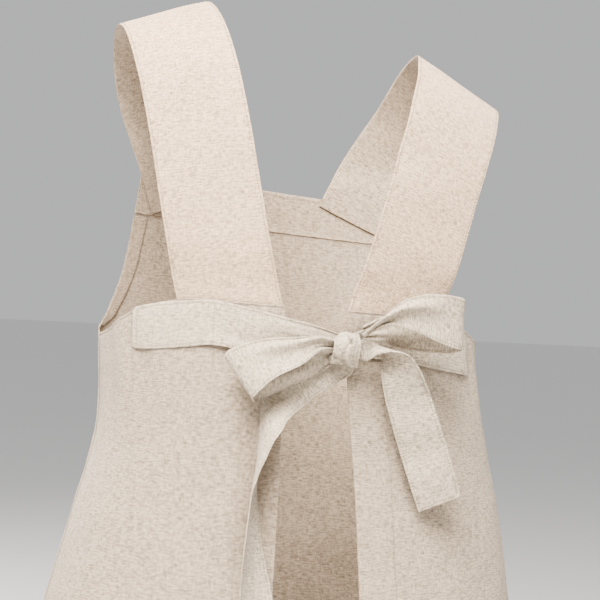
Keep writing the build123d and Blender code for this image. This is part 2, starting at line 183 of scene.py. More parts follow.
def surface(angle, height, offset):
    """Places on the worn cloth, off the form by offset, in millimetres."""
    angle, height = np.broadcast_arrays(np.asarray(angle, float), np.asarray(height, float))
    x, y, a, b = section(angle, height, offset)
    out = unit(np.stack([np.sign(x) * np.abs(x / a) ** (ROUNDNESS - 1) / a,
                         np.sign(y) * np.abs(y / b) ** (ROUNDNESS - 1) / b], -1))
    stand = drape(angle, height)
    x, y = x + out[..., 0] * stand, y + out[..., 1] * stand
    placed = worn(np.stack([x, y, height], -1))
    placed[..., 0] += form_rows(height)[2]
    return placed


def laid_on(x, z, offset):
    """Places on the cloth of the back that have these x and z."""
    x, z = np.asarray(x, float), np.asarray(z, float)
    across, height = x, z
    for _ in range(10):
        rise = np.maximum(0, (height - LEAN_BASE) / -LEAN_BASE)
        shift = form_rows(height)[2]
        across = (x - shift + LEAN_SLIDE * rise**2) / np.cos(LEAN_TOP * rise)
        height = z - across * np.sin(LEAN_TOP * rise)
    angle = angle_at(across + shift, height, offset)
    placed = surface(angle, height, offset)
    return np.stack([x, placed[..., 1], z], -1)


# ---- meshes ----
def make_piece(name, vertices, faces, uvs, material):
    """A smooth mesh piece. Vertices and uvs are in millimetres here, and become metres."""
    mesh = bpy.data.meshes.new(name)
    mesh.from_pydata((np.asarray(vertices) / 1000).tolist(), [], faces)
    layer = mesh.uv_layers.new(name="UVMap")
    corner = np.zeros(len(mesh.loops), int)
    mesh.loops.foreach_get("vertex_index", corner)
    layer.data.foreach_set("uv", (np.asarray(uvs)[corner] / 1000).astype(np.float32).ravel())
    mesh.polygons.foreach_set("use_smooth", [True] * len(mesh.polygons))
    mesh.materials.append(material)
    mesh.validate()
    piece = bpy.data.objects.new(name, mesh)
    bpy.context.scene.collection.objects.link(piece)
    return piece


def quads(index):
    """Faces of a grid of vertex numbers."""
    return np.stack([index[:-1, :-1], index[1:, :-1], index[1:, 1:], index[:-1, 1:]], -1).reshape(-1, 4)


def grid_normals(grid):
    down, along = np.gradient(grid, axis=0), np.gradient(grid, axis=1)
    return unit(np.cross(down, along))


def cloth_uvs(grid):
    """Weft and warp lengths over a grid: along the rows, and down the first column."""
    along = np.linalg.norm(np.diff(grid, axis=1), axis=-1).cumsum(1)
    along = np.concatenate([np.zeros((len(grid), 1)), along], 1)
    down = np.linalg.norm(np.diff(grid[:, 0], axis=0), axis=-1).cumsum()
    down = np.concatenate([[0], down])[:, None] + np.zeros(grid.shape[1])
    return np.stack([along, down], -1)


def cloth_piece(name, grid, thickness, material, uv=None, turn=0.0):
    """Closed cloth with a rounded rim, about a grid of points in its middle."""
    rows, cols = grid.shape[:2]
    normal = grid_normals(grid)
    half = np.broadcast_to(np.asarray(thickness, float), (rows, cols))[..., None] / 2
    uv = cloth_uvs(grid) if uv is None else uv
    if turn:
        uv = uv @ np.array([[cos(turn), sin(turn)], [-sin(turn), cos(turn)]])
    outward = np.zeros_like(grid)
    outward[0] += unit(grid[0] - grid[1])
    outward[-1] += unit(grid[-1] - grid[-2])
    outward[:, 0] += unit(grid[:, 0] - grid[:, 1])
    outward[:, -1] += unit(grid[:, -1] - grid[:, -2])
    outward = unit(outward)
    count = rows * cols
    index = np.arange(count).reshape(rows, cols)
    ring = np.concatenate([index[0, :-1], index[:-1, -1], index[-1, :0:-1], index[:0:-1, 0]])
    rim = (grid + outward * half).reshape(-1, 3)[ring]
    vertices = np.concatenate([(grid + normal * half).reshape(-1, 3),
                               (grid - normal * half).reshape(-1, 3), rim])
    upper, lower = quads(index), quads(index)[:, ::-1] + count
    edge = np.arange(len(ring)) + 2 * count
    after, after_edge = np.roll(ring, -1), np.roll(edge, -1)
    round_upper = np.stack([ring, after, after_edge, edge], -1)
    round_lower = np.stack([edge, after_edge, after + count, ring + count], -1)
    faces = np.concatenate([upper, lower, round_upper, round_lower])
    flat = uv.reshape(-1, 2)
    return make_piece(name, vertices, faces.tolist(), np.concatenate([flat, flat, flat[ring]]), material)


def even_lines(length, count, near=EDGE_LINES, far=EDGE_LINES):
    """Distances across a cloth: fine beside both edges, and count even steps between."""
    near, far = list(near), [length - d for d in reversed(far)]
    middle = np.linspace(near[-1], far[0], count + 1)[1:-1]
    return np.array(near + list(middle) + far)


STITCH_SIDES, STITCH_PITCH, STITCH_LENGTH, THREAD_RADIUS = 6, 2.8, 1.9, 0.42


def stitch_mesh(path, normal):
    """Vertices, faces and uvs of a line of stitches, half sunk in the cloth along a path."""
    steps = np.linalg.norm(np.diff(path, axis=0), axis=-1)
    travelled = np.concatenate([[0], steps.cumsum()])
    clear = 0.4 * STITCH_PITCH      # kept free at both ends of the line
    centres = np.arange(clear, travelled[-1] - clear, STITCH_PITCH)
    along = np.linspace(-1, 1, 5)
    girth = THREAD_RADIUS * np.sqrt(np.clip(1 - (0.93 * along) ** 4, 0, 1))
    rise = THREAD_RADIUS * (0.35 - 0.9 * along**2)
    places = centres[:, None] + along * STITCH_LENGTH / 2
    middle = np.stack([np.interp(places, travelled, path[:, k]) for k in range(3)], -1)
    up = unit(np.stack([np.interp(places, travelled, normal[:, k]) for k in range(3)], -1))
    ahead = unit(np.gradient(middle, axis=1))
    side = np.cross(ahead, up)
    spin = np.arange(STITCH_SIDES) * 2 * pi / STITCH_SIDES
    ring = (side[:, :, None] * np.cos(spin)[:, None] + up[:, :, None] * np.sin(spin)[:, None])
    vertices = middle[:, :, None] + up[:, :, None] * rise[None, :, None, None]
    vertices = vertices + ring * girth[None, :, None, None]
    block = np.arange(vertices[..., 0].size).reshape(vertices.shape[:3])
    after = np.roll(block, -1, axis=2)
    tube = np.stack([block[:, :-1], after[:, :-1], after[:, 1:], block[:, 1:]], -1)
    faces = tube.reshape(-1, 4).tolist()
    faces += block[:, 0, ::-1].tolist() + block[:, -1].tolist()
    uvs = np.zeros(vertices.shape[:3] + (2,))
    uvs[..., 0] = spin * THREAD_RADIUS
    uvs[..., 1] = places[:, :, None]
    return vertices.reshape(-1, 3), faces, uvs.reshape(-1, 2)


def stitching(name, lines):
    """One piece of thread from several lines of stitches, each a path and its normals."""
    vertices, faces, uvs, count = [], [], [], 0
    for path, normal in lines:
        points, some, flat = stitch_mesh(np.asarray(path), np.asarray(normal))
        vertices.append(points)
        uvs.append(flat)
        faces += [[n + count for n in face] for face in some]
        count += len(points)
    return make_piece(name, np.concatenate(vertices), faces, np.concatenate(uvs), THREAD)


def stitch_paths(grid, thickness, *parts, face=1):
    """Paths and normals for lines of stitches on a cloth's outer or inner face, over parts of its grid."""
    normal = face * grid_normals(grid)
    half = np.broadcast_to(np.asarray(thickness, float), grid.shape[:2])[..., None] / 2
    return [((grid + normal * half)[part], normal[part]) for part in parts]


# ---- materials ----
class Nodes:
    """A material's node tree, with short calls for the nodes used here."""

    def __init__(self, name):
        self.material = bpy.data.materials.new(name)
        self.material.use_nodes = True
        self.tree = self.material.node_tree
        self.tree.nodes.clear()

    def add(self, kind, inputs=(), **settings):
        node = self.tree.nodes.new(kind)
        for key, value in settings.items():
            setattr(node, key, value)
        for key, value in dict(inputs).items():
            self.put(node.inputs[key], value)
        return node

    def put(self, socket, value):
        if isinstance(value, bpy.types.NodeSocket):
            self.tree.links.new(value, socket)
        else:
            socket.default_value = value

    def math(self, operation, *values):
        return self.add("ShaderNodeMath", enumerate(values), operation=operation).outputs[0]

    def scaled(self, value, factor, total=0.0):
        return self.math("MULTIPLY_ADD", value, factor, total)

    def about_half(self, value, factor, total=0.0):
        """total plus factor times how far value is from 0.5."""
        return self.scaled(self.math("SUBTRACT", value, 0.5), factor, total)

    def surface(self, shader):
        output = self.add("ShaderNodeOutputMaterial")
        self.put(output.inputs["Surface"], shader.outputs[0])
        return self.material

    def noise(self, vector, scale, detail=2.0, roughness=0.5):
        node = self.add("ShaderNodeTexNoise", {"Vector": vector, "Scale": scale, "Detail": detail,
                                               "Roughness": roughness})
        return node.outputs["Fac"]

    def vector(self, x, y, z=0.0):
        return self.add("ShaderNodeCombineXYZ", {"X": x, "Y": y, "Z": z}).outputs[0]


YARN, WANDER = 0.00082, 0.0022      # metres from one yarn to the next, and how far they stray


def linen(name, light, dark):
    """Washed plain-weave linen: uneven yarns over and under each other, slubs and crumple, with painted
    shade darkening its colour in creases and hollows.
    """
    n = Nodes(name)
    uv = n.add("ShaderNodeUVMap", uv_map="UVMap").outputs[0]
    place = n.add("ShaderNodeTexCoord").outputs["Object"]
    split = n.add("ShaderNodeSeparateXYZ", {"Vector": uv})
    u = n.math("DIVIDE", n.about_half(n.noise(uv, 95.0, 3.0), WANDER, split.outputs["X"]), YARN)
    v = n.math("DIVIDE", n.about_half(n.noise(place, 80.0, 3.0), WANDER, split.outputs["Y"]), YARN)
    warp, weft = n.math("FLOOR", u), n.math("FLOOR", v)
    # each yarn's own thickness along its length: slow along the yarn, new for each yarn
    warp_slub = n.noise(n.vector(n.scaled(warp, 7.31), n.scaled(v, 0.12)), 1.0, 2.5)
    weft_slub = n.noise(n.vector(n.scaled(weft, 5.77), n.scaled(u, 0.11), 9.0), 1.0, 2.5)
    over_warp = n.math("ABSOLUTE", n.math("SINE", n.scaled(u, pi)))
    over_weft = n.math("ABSOLUTE", n.math("SINE", n.scaled(v, pi)))
    turn_warp = n.math("COSINE", n.scaled(n.math("ADD", v, warp), pi))
    turn_weft = n.math("COSINE", n.scaled(n.math("ADD", n.math("ADD", u, weft), 1.0), pi))
    warp_high = n.scaled(over_warp, n.scaled(turn_warp, 0.35, 0.65))
    weft_high = n.scaled(over_weft, n.scaled(turn_weft, 0.35, 0.65))
    warp_high = n.scaled(warp_high, n.scaled(warp_slub, 1.1, 0.45))
    weft_high = n.scaled(weft_high, n.scaled(weft_slub, 1.1, 0.45))
    weave = n.math("MAXIMUM", warp_high, weft_high)
    slubs = n.about_half(weft_slub, 1.6, n.about_half(warp_slub, 0.7))
    warp_dye, weft_dye = (
        n.add("ShaderNodeTexWhiteNoise",
              {"Vector": n.vector(yarn, n.math("FLOOR", n.scaled(run, 0.2)), apart)})
        for yarn, run, apart in ((warp, v, 0.0), (weft, u, 4.0)))
    yarn_tone = n.scaled(n.math("ADD", warp_dye.outputs["Value"], weft_dye.outputs["Value"]), 0.5)
    crumple = n.noise(place, 42.0, 5.0, 0.6)
    patch = n.noise(place, 9.0, 3.0)
    # tone: yarn tops light, gaps dark, slubs and patches a little off
    tone = n.scaled(weave, 0.62, 0.20)
    tone = n.scaled(slubs, 0.5, tone)
    tone = n.about_half(yarn_tone, 0.55, tone)
    along = n.noise(n.vector(n.scaled(u, 0.16), n.scaled(v, 0.66), 3.0), 1.0, 1.5)
    down = n.noise(n.vector(n.scaled(u, 0.70), n.scaled(v, 0.20), 9.0), 1.0, 1.5)
    grain = n.scaled(along, 0.62, n.scaled(down, 0.38))
    for unevenness, factor in ((grain, 2.3), (patch, 0.25), (crumple, 0.15)):
        tone = n.about_half(unevenness, factor, tone)
    ramp_node = n.add("ShaderNodeValToRGB", {"Fac": tone})
    ramp_node.color_ramp.elements[0].color = (*dark, 1)
    ramp_node.color_ramp.elements[0].position = 0.05
    ramp_node.color_ramp.elements[1].color = (*light, 1)
    ramp_node.color_ramp.elements[1].position = 0.95
    rough = n.scaled(weave, -0.10, 0.92)
    height = n.scaled(grain, 1.4, n.scaled(slubs, 0.5, weave))
    fine = n.add("ShaderNodeBump", {"Height": height, "Strength": 0.8, "Distance": 0.00045})
    soft = n.add("ShaderNodeBump", {"Height": crumple, "Strength": 0.35, "Distance": 0.0030,
                                    "Normal": fine.outputs[0]})
    # painted shade: ambient occlusion darkens the colour where the cloth lies deep between folds, in
    # creases and under other cloth
    painted_shade_ao = n.add("ShaderNodeAmbientOcclusion", {"Distance": 0.026}, samples=8).outputs["AO"]
    deep = n.scaled(painted_shade_ao, 0.78, 0.22)
    colour = n.add("ShaderNodeVectorMath", {0: ramp_node.outputs["Color"], 1: n.vector(deep, deep, deep)},
                   operation="MULTIPLY")
    shader = n.add("ShaderNodeBsdfPrincipled", {"Base Color": colour.outputs["Vector"],
                                                "Roughness": rough, "Normal": soft.outputs[0]})
    shader.inputs["Specular IOR Level"].default_value = 0.25
    shader.inputs["Sheen Weight"].default_value = 0.22
    shader.inputs["Sheen Roughness"].default_value = 0.55
    shader.inputs["Sheen Tint"].default_value = (1.0, 0.94, 0.87, 1)
    return n.surface(shader)


def thread_material(name, colour):
    """Spun sewing thread: fine twist across the stitch."""
    n = Nodes(name)
    uv = n.add("ShaderNodeUVMap", uv_map="UVMap").outputs[0]
    split = n.add("ShaderNodeSeparateXYZ", {"Vector": uv})
    lay = n.scaled(split.outputs["X"], 9000.0, n.scaled(split.outputs["Y"], 7000.0))
    twist = n.scaled(n.math("SINE", lay), 0.5, 0.5)
    shade = n.add("ShaderNodeValToRGB", {"Fac": twist})
    shade.color_ramp.elements[0].color = (*[c * 0.72 for c in colour], 1)
    shade.color_ramp.elements[1].color = (*colour, 1)
    bump = n.add("ShaderNodeBump", {"Height": twist, "Strength": 0.4, "Distance": 0.0001})
    rough = n.scaled(twist, -0.15, 0.75)
    shader = n.add("ShaderNodeBsdfPrincipled", {"Base Color": shade.outputs["Color"],
                                                "Roughness": rough, "Normal": bump.outputs[0]})
    shader.inputs["Sheen Weight"].default_value = 0.15
    return n.surface(shader)


# light tops and dark gaps of each part's yarns
PANEL_LINEN = linen("linen_panel", (0.66, 0.51, 0.36), (0.19, 0.141, 0.093))
FACING_LINEN = linen("linen_facing", (0.66, 0.5, 0.35), (0.2, 0.146, 0.095))
# painted highlight: the strap linen is lighter and warmer than the panels', standing in for the light that
# falls on the straps from above
STRAP_LINEN_PAINTED_LIGHTER = linen("linen_strap", (0.90, 0.63, 0.405), (0.29, 0.195, 0.12))
# painted highlight: the tie linen is lighter than the panels', standing in for the light on the ribbons'
# upturned faces; the knot uses it too
TIE_LINEN_PAINTED_LIGHTER = linen("linen_tie", (0.84, 0.685, 0.5), (0.25, 0.197, 0.135))
# painted shade: the thread is coloured darker than the cloth, standing in for the shade beside each stitch
THREAD = thread_material("thread", (0.33, 0.25, 0.17))


# ---- panels ----
# heights, and how far out the armhole's edge lies there
ARMHOLE = [(-130, 142), (-175, 147), (-228, 156), (-266, 171), (-290, 191)]
# distances from the middle of the back, and the height of the panel's top edge there
SIDE_CURVE = [(112, -245.5), (136, -251), (156, -258.5), (172, -270), (191, -289)]
# heights, and where each panel's edge beside the back opening lies there
BACK_EDGES = {
    "left": [(-245.5, 28), (-300, 26), (-400, 27), (-500, 30), (-610, 34), (-950, 48)],
    "right": [(-245.5, -29), (-300, -31), (-400, -42), (-500, -49), (-610, -56), (-950, -78)],
}
SEAM_ANGLE = pi / 2
SEAM_GAP = 0.002                # radians that the two panels keep from each other at the side
# grid lines beside the back opening and above the hem, with the one that is stitched in each
FLAP_LINES = [*EDGE_LINES, 12, 18, 24, 29, 32, 33.6, 34.4, 35.2, 36, 37.6, 41]
HEM_LINES = [0, 0.7, 1.5, 3, 8, 14, 20, 23.3, 24.2, 25, 25.8, 27]
FLAP_STITCH, HEM_STITCH = FLAP_LINES.index(35.2), HEM_LINES.index(25)


def thin_edge(distance, cloth=CLOTH, inset=STITCH_INSET):
    """Thickness of cloth near a folded edge, pressed in along its stitches."""
    return cloth * (1 - 0.25 * np.exp(-(distance / 0.5) ** 2) - 0.4 * hump(distance, inset, 0.7))


def spaced_angles(heights, first, last, lines):
    """For each height, angles from first to last at the distances that lines(length) gives."""
    rows = []
    for height, start, end in zip(heights, first, last):
        fine = np.linspace(start, end, 240)
        path = surface(fine, np.full(240, height), PANEL)
        travelled = np.concatenate([[0], np.linalg.norm(np.diff(path, axis=0), axis=-1).cumsum()])
        rows.append(np.interp(lines(travelled[-1]), travelled, fine))
    return np.array(rows)


def dropped(angle, nominal, curve):
    """Heights of a panel's rows, with its top edge cut down to a curve towards the side."""
    x = np.abs(section(angle, nominal[:, None], PANEL)[0])
    drop = curve[0][1] - by_key(curve, x)
    return nominal[:, None] - drop * (1 - ramp(curve[0][1] - nominal, 0, 110))[:, None]


def flap_blend(piece):
    """Bakes the piece's placement into its mesh, where it stays."""
    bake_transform(piece)


def fit(piece, nodes, body, threads=()):
    """A sheet that stands for some nodes and rides on one body, with its stitches."""
    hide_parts(*nodes)
    for each in (piece, *threads):
        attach(each, body)


for side_name, side in SIDES:
    order = slice(None, None, -side)        # columns run towards -X, so that normals look out

    # the panel's cloth, in one piece from the shoulder blade to the hem
    depths = even_lines(BACK_TOP - HEM, 165, far=HEM_LINES)
    nominal = BACK_TOP - depths
    first = angle_at(by_key(BACK_EDGES[side_name], nominal), nominal, PANEL)
    last = np.full(len(nominal), side * (SEAM_ANGLE - SEAM_GAP))
    angle = spaced_angles(nominal, first, last, lambda length: even_lines(length, 58, near=FLAP_LINES))
    height = dropped(angle, nominal, SIDE_CURVE)
    column = np.array(FLAP_LINES + [200.0] * (angle.shape[1] - len(FLAP_LINES)))
    along = ripple((height, 0), 21 + side, 12)
    # the cloth dips along its stitches, and puckers and swells beside them
    push = (-0.55 * hump(depths, STITCH_INSET, 1.1)[:, None] + 0.22 * along * hump(column, FACING_WIDTH, 8)
            + 0.16 * along * hump(column, 2, 4) + 0.35 * hump(column, 0, 6)
            - 0.5 * hump(column, FACING_WIDTH, 1.2)
            - 0.4 * hump(depths[-1] - depths, HEM_DEPTH, 1.2)[:, None]
            + 0.25 * (ripple((200 * angle, 0), 27 + side, 9) * hump(depths, 2, 5)[:, None]))
    grid = surface(angle, height, PANEL + push)
    thickness = np.minimum(thin_edge(column)[None, :], thin_edge(depths)[:, None])
    piece = cloth_piece(f"back_cloth_{side_name}", grid[:, order], thickness[:, order], PANEL_LINEN,
                        uv=cloth_uvs(grid)[:, order])
    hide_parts(f"back_{side_name}", f"skirt_flap_{side_name}")
    hem_line = len(depths) - 1 - HEM_STITCH
    laid = grid[:, order]
    lines = stitch_paths(laid, thickness[:, order], at[3:-3, -side * FLAP_STITCH - (side > 0)],
                         at[INSET], at[hem_line])
    # the lines across it start at the opening, whichever way the columns run
    lines[1:] = [(path[order][2:-1], normal[order][2:-1]) for path, normal in lines[1:]]
    thread = stitching(f"back_stitching_{side_name}", lines)
    for part in (piece, thread):
        flap_blend(part)

    # the folded edge inside it, down the back opening
    inside = depths[(depths > 24.5) & (depths < depths[-1] - HEM_DEPTH - 0.5)]
    row = int(np.searchsorted(depths, inside[0]))
    strip = at[row:row + len(inside), :FLAP_STITCH + 1]
    facing = surface(angle[strip], height[strip], FACING + push[strip])
    fold_piece = cloth_piece(f"back_facing_{side_name}", facing[:, order], FOLD, FACING_LINEN)
    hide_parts(f"centre_facing_{side_name}", f"flap_facing_{side_name}")
    flap_blend(fold_piece)

    # the fold along the top edge, and the hem
    count = int(np.searchsorted(depths, 24.2))
    reach = int(np.argmax(np.abs(section(angle[0], nominal[:1], PANEL)[0]) > 136))
    corner = at[:count, :reach]
    top_fold = surface(angle[corner], height[corner], FACING + push[corner])
    top_piece = cloth_piece(f"back_top_fold_{side_name}", top_fold[:, order], FOLD, FACING_LINEN)
    fit(top_piece, [f"back_top_facing_{side_name}"], "apron")
    lowest = at[hem_line:, :-9]             # stops short of the side seam
    hem = surface(angle[lowest], height[lowest], FACING + push[lowest])
    hem_piece = cloth_piece(f"flap_hem_fold_{side_name}", hem[:, order], FOLD, FACING_LINEN)
    fit(hem_piece, [f"flap_hem_{side_name}"], f"{side_name}_flap")

# ---- front: bib and skirt in one cloth ----
BIB_LINES = [*EDGE_LINES, 12, 18, 24, 30, 36, 38.6, 39.4, 40.2, 41, 43, 47]
heights = np.concatenate([BIB_TOP - np.array(BIB_LINES),
                          np.linspace(-182, -258, 18), np.linspace(-261, -286, 12),
                          np.linspace(-291, HEM + 32, 140), HEM + np.array(HEM_LINES[::-1])])
edge = angle_at(by_key(ARMHOLE, heights), heights, PANEL)
edge = np.where(heights < SIDE_TOP, SEAM_ANGLE, np.minimum(edge, SEAM_ANGLE)) - SEAM_GAP / 2
front_angle = spaced_angles(heights, pi + edge, pi - edge, lambda length: even_lines(length, 110))
column = even_lines(1000, 110)
from_edge = np.minimum(column, 1000 - column)
facing_line = 40.2 - (BIB_TOP - heights)
push = (-0.5 * hump(facing_line, 0, 1.2) - 0.55 * hump(BIB_TOP - heights, STITCH_INSET, 1.1)
        + 0.2 * hump(BIB_TOP - heights, 0, 6)
        - 0.4 * hump(heights - HEM, HEM_DEPTH, 1.2))[:, None]
push = push + 0.2 * ripple((220 * front_angle, 0), 31, 10) * hump(BIB_TOP - heights, 2, 5)[:, None]
front_height = heights[:, None] + 0 * front_angle
front = surface(front_angle, front_height, PANEL + push)
thickness = np.minimum(thin_edge(from_edge)[None, :], thin_edge(BIB_TOP - heights)[:, None])
front_piece = cloth_piece("front_cloth", front, thickness, PANEL_LINEN)
armhole_end = int(np.argmax(heights < -279))
stitch_rows = [INSET, int(np.argmin(np.abs(facing_line))), len(heights) - 1 - HEM_STITCH]
front_thread = stitching("front_stitching", stitch_paths(
    front, thickness, *(at[row, 2:-2] for row in stitch_rows),
    at[2:armhole_end, INSET], at[2:armhole_end, -1 - INSET]))
fit(front_piece, ["front_panel"], "apron",
    [front_thread])


def front_fold(name, node, part):
    """A folded edge inside the front, over part of its grid."""
    grid = surface(front_angle[part], front_height[part], FACING + push[part])
    piece = cloth_piece(name, grid, FOLD, FACING_LINEN)
    fit(piece, [node], "apron")


bib_rows = int(np.argmin(np.abs(facing_line))) + 1
front_fold("bib_fold", "bib_facing", at[:bib_rows, 1:-1])
front_fold("front_hem_fold", "hem_front", at[stitch_rows[2]:, 1:-1])
front_fold("armhole_fold_right", "armhole_facing_right", at[bib_rows + 1:armhole_end, :11])
front_fold("armhole_fold_left", "armhole_facing_left", at[bib_rows + 1:armhole_end, -11:])

# the side seams, felled towards the front and reaching a little past the seam
FELL_WIDTH, FELL_PAST = 11.5, 1.2
for side_name, side in SIDES:
    seam_heights = np.linspace(-288, HEM + 1.5, 170)
    across = even_lines(FELL_WIDTH, 2, near=[0, 0.7, 1.6, 2.4], far=[0, 0.7, 1.6, 2.4])
    half_width = form_rows(seam_heights)[0]
    seam_angle = side * (SEAM_ANGLE + (across - FELL_PAST)[None, :] / half_width[:, None])
    fell = surface(seam_angle, seam_heights[:, None] + 0 * seam_angle, TRIM)
    seam = fell[:, ::side]
    thickness = np.broadcast_to(thin_edge(np.minimum(across, FELL_WIDTH - across), FOLD), seam.shape[:2])
    piece = cloth_piece(f"side_fell_{side_name}", seam, thickness, PANEL_LINEN)
    thread = stitching(f"side_stitching_{side_name}",
                       stitch_paths(seam, thickness, at[1:-1, 3], at[1:-1, -4]))
    fit(piece, [f"side_seam_{side_name}"], "apron",
        [thread])

# ---- pockets: sewn on at the sides and below, gaping at the mouth ----
POCKET_TOP, POCKET_WIDTH, POCKET_DEPTH, POCKET_CENTRE = -420, 150, 170, 97
POCKET_LINES = [*EDGE_LINES, 12, 17, 20.4, 21.2, 22, 22.8, 24.5]
POCKET_FOLD, POCKET_FOLD_BEHIND = 0.45, 0.66      # the hemmed mouth: thickness, and distance inwards
for side_name, side in SIDES:
    width = even_lines(POCKET_WIDTH, 26)
    depth = even_lines(POCKET_DEPTH, 30, near=POCKET_LINES)
    x = side * POCKET_CENTRE + width - POCKET_WIDTH / 2
    across = np.clip((width / POCKET_WIDTH) * 2 - 1, -1, 1)
    belly = (1 - np.abs(across) ** 3.0) ** 1.5
    gape = 12.5 * belly[None, :] * ((1 - ramp(depth, 10, POCKET_DEPTH - 8)) ** 1.3)[:, None]
    crumple = 0.7 * ripple((x[None, :], depth[:, None]), 41 + side, 46)
    gape = gape + crumple * np.sqrt(belly)[None, :] * ramp(POCKET_DEPTH - depth, 4, 30)[:, None]
    sag = 3.5 * belly[None, :] * (1 - ramp(depth, 0, 90))[:, None]
    z = POCKET_TOP - depth[:, None] - sag
    angle = pi - angle_at(x[None, :] + 0 * z, z, TRIM)
    stand = TRIM + 0.1 + gape - 0.15 * hump(depth, 22, 1.0)[:, None]
    pocket = surface(angle, z, stand)
    from_side = np.minimum(width, POCKET_WIDTH - width)
    thickness = np.minimum(thin_edge(from_side)[None, :],
                           np.minimum(thin_edge(depth), thin_edge(POCKET_DEPTH - depth))[:, None])
    piece = cloth_piece(f"pocket_cloth_{side_name}", pocket, thickness, PANEL_LINEN)
    hem_line = POCKET_LINES.index(22)
    thread = stitching(f"pocket_stitching_{side_name}", stitch_paths(
        pocket, thickness, at[1:-1, INSET], at[1:-1, -1 - INSET],
        at[-1 - INSET, 2:-2], at[hem_line, 2:-2]))
    mouth = at[1:hem_line + 1, 3:-3]
    fold_grid = surface(angle[mouth], z[mouth], stand[mouth] - POCKET_FOLD_BEHIND)
    fold_piece = cloth_piece(f"pocket_fold_{side_name}", fold_grid, POCKET_FOLD, FACING_LINEN)
    fit(piece, [f"pocket_{side_name}"], "apron",
        [thread])
    fit(fold_piece, [f"pocket_hem_{side_name}"], "apron")

# ---- shoulder straps: an outer cloth and a backing, sewn together at the edges ----
# centre of the strap and the way its face looks, from behind the back's top fold to behind the bib
STRAP = [(66, 106.9, -285, .215, .976, 0), (75.5, 107.7, -245.2, .215, .976, 0),
         (87, 108, -205, .22, .975, .02), (100.5, 105, -150, .24, .965, .08),
         (112.5, 98, -100, .26, .945, .18), (126, 82, -50, .28, .83, .48), (138, 50, -13, .33, .5, .8),
         (145, 8, 0, .43, 0, .903), (143, -35, -12, .38, -.42, .82), (133, -72, -48, .28, -.82, .5),
         (113, -93, -92, .22, -.95, .22), (96, -98.5, -129.7, .2, -.97, 0),
         (82, -99.6, -165, .2, -.97, 0)]
STRAP_WIDTH = 90


def strap_grid(side, width_lines, lift):
    """Grid over a strap, lift off its middle surface; its ends lie inside the panels."""
    table = np.array(STRAP, float)
    fine = np.linspace(0.45, len(STRAP) - 1.35, 900)
    centre = spline(table[:, :3], fine)
    travelled = np.concatenate([[0], np.linalg.norm(np.diff(centre, axis=0), axis=-1).cumsum()])
    length = even_lines(travelled[-1], 110)
    t = np.interp(length, travelled, fine)
    centre = spline(table[:, :3], t)
    along = unit(np.gradient(centre, axis=0))
    across = unit(np.cross(along, unit(spline(table[:, 3:], t))))
    out = np.cross(across, along)
    wave = 0.5 * ripple((length[:, None], width_lines[None, :]), 51 + side, 70)
    crown = 0.5 * (1 - (width_lines / 45) ** 2)
    grid = (centre[:, None] + across[:, None] * width_lines[None, :, None]
            + out[:, None] * (lift + wave + crown[None, :])[..., None])
    height = grid[..., 2]
    back = grid[..., 1] > 0
    tucked = np.where(back, ramp(-height, 200, 240), ramp(-height, 84, 122))
    inside = angle_at(grid[..., 0], height, -1.0 + lift)
    depth = section(inside, height, -1.0 + lift)[1]
    depth = np.where(back, depth, -depth)
    grid[..., 1] += (depth - grid[..., 1]) * tucked
    if side < 0:
        # the other strap mirrors the pattern; the form itself is a little off centre
        grid = grid * np.array([-1, 1, 1])
    return worn(grid)


for side_name, side in SIDES:
    lines = even_lines(STRAP_WIDTH, 20) - STRAP_WIDTH / 2
    edge = np.minimum(lines + STRAP_WIDTH / 2, STRAP_WIDTH / 2 - lines)
    close = 1 - 0.35 * np.exp(-(edge / 1.6) ** 2)
    upper = strap_grid(side, lines, 0.42 * close)
    under = strap_grid(side, lines * 0.988, -0.42 * close)
    order = slice(None, None, -side)
    thickness = np.broadcast_to(thin_edge(edge, 0.6), upper.shape[:2])
    piece = cloth_piece(f"strap_cloth_{side_name}", upper[:, order], thickness, STRAP_LINEN_PAINTED_LIGHTER)
    backing = cloth_piece(f"strap_backing_{side_name}", under[:, order], FOLD, FACING_LINEN)
    thread = stitching(f"strap_stitching_{side_name}", stitch_paths(
        upper[:, order], thickness, at[4:-4, INSET], at[4:-4, -1 - INSET]))
    fit(piece, [f"strap_{side_name}"], "apron",
        [thread])
    fit(backing, [f"strap_lining_{side_name}"], "apron")


# ---- ties: ribbons folded double and stitched along both edges ----
RIBBON = 1.15                   # thickness of a ribbon
CORNER, HALF_TIE = 4.5, 19.0    # radius of a waist tie's sewn corners, and half its width
TIE_SEAMS = (89.5, 153.5)       # distances from the middle of the back where each is sewn down


def ribbon_grid(near, far, step=2.6, shape=None):
    """Grid over a ribbon between two edge curves. shape(t, w) moves it along its normal, where
    t runs from 0 to 1 along it and w from the near edge to the far one."""
    near, far = np.asarray(near, float), np.asarray(far, float)
    fine = np.linspace(0, len(near) - 1, 900)
    centre = spline((near + far) / 2, fine)
    travelled = np.concatenate([[0], np.linalg.norm(np.diff(centre, axis=0), axis=-1).cumsum()])
    length = travelled[-1]
    places = even_lines(length, int((length - 15) / step))
    t = np.interp(places, travelled, fine)
    a, b = spline(near, t), spline(far, t)
    width = np.linalg.norm(b - a, axis=-1).max()
    w = even_lines(width, 16) / width
    grid = a[:, None] * (1 - w)[:, None] + b[:, None] * w[:, None]
    if shape:
        grid = grid + grid_normals(grid) * shape((places / length)[:, None], w[None, :])[..., None]
    edge = np.minimum(w, 1 - w) * width
    end = np.minimum(places, length - places)
    thickness = np.minimum(thin_edge(edge, RIBBON)[None, :], thin_edge(end, RIBBON)[:, None])
    return grid, thickness


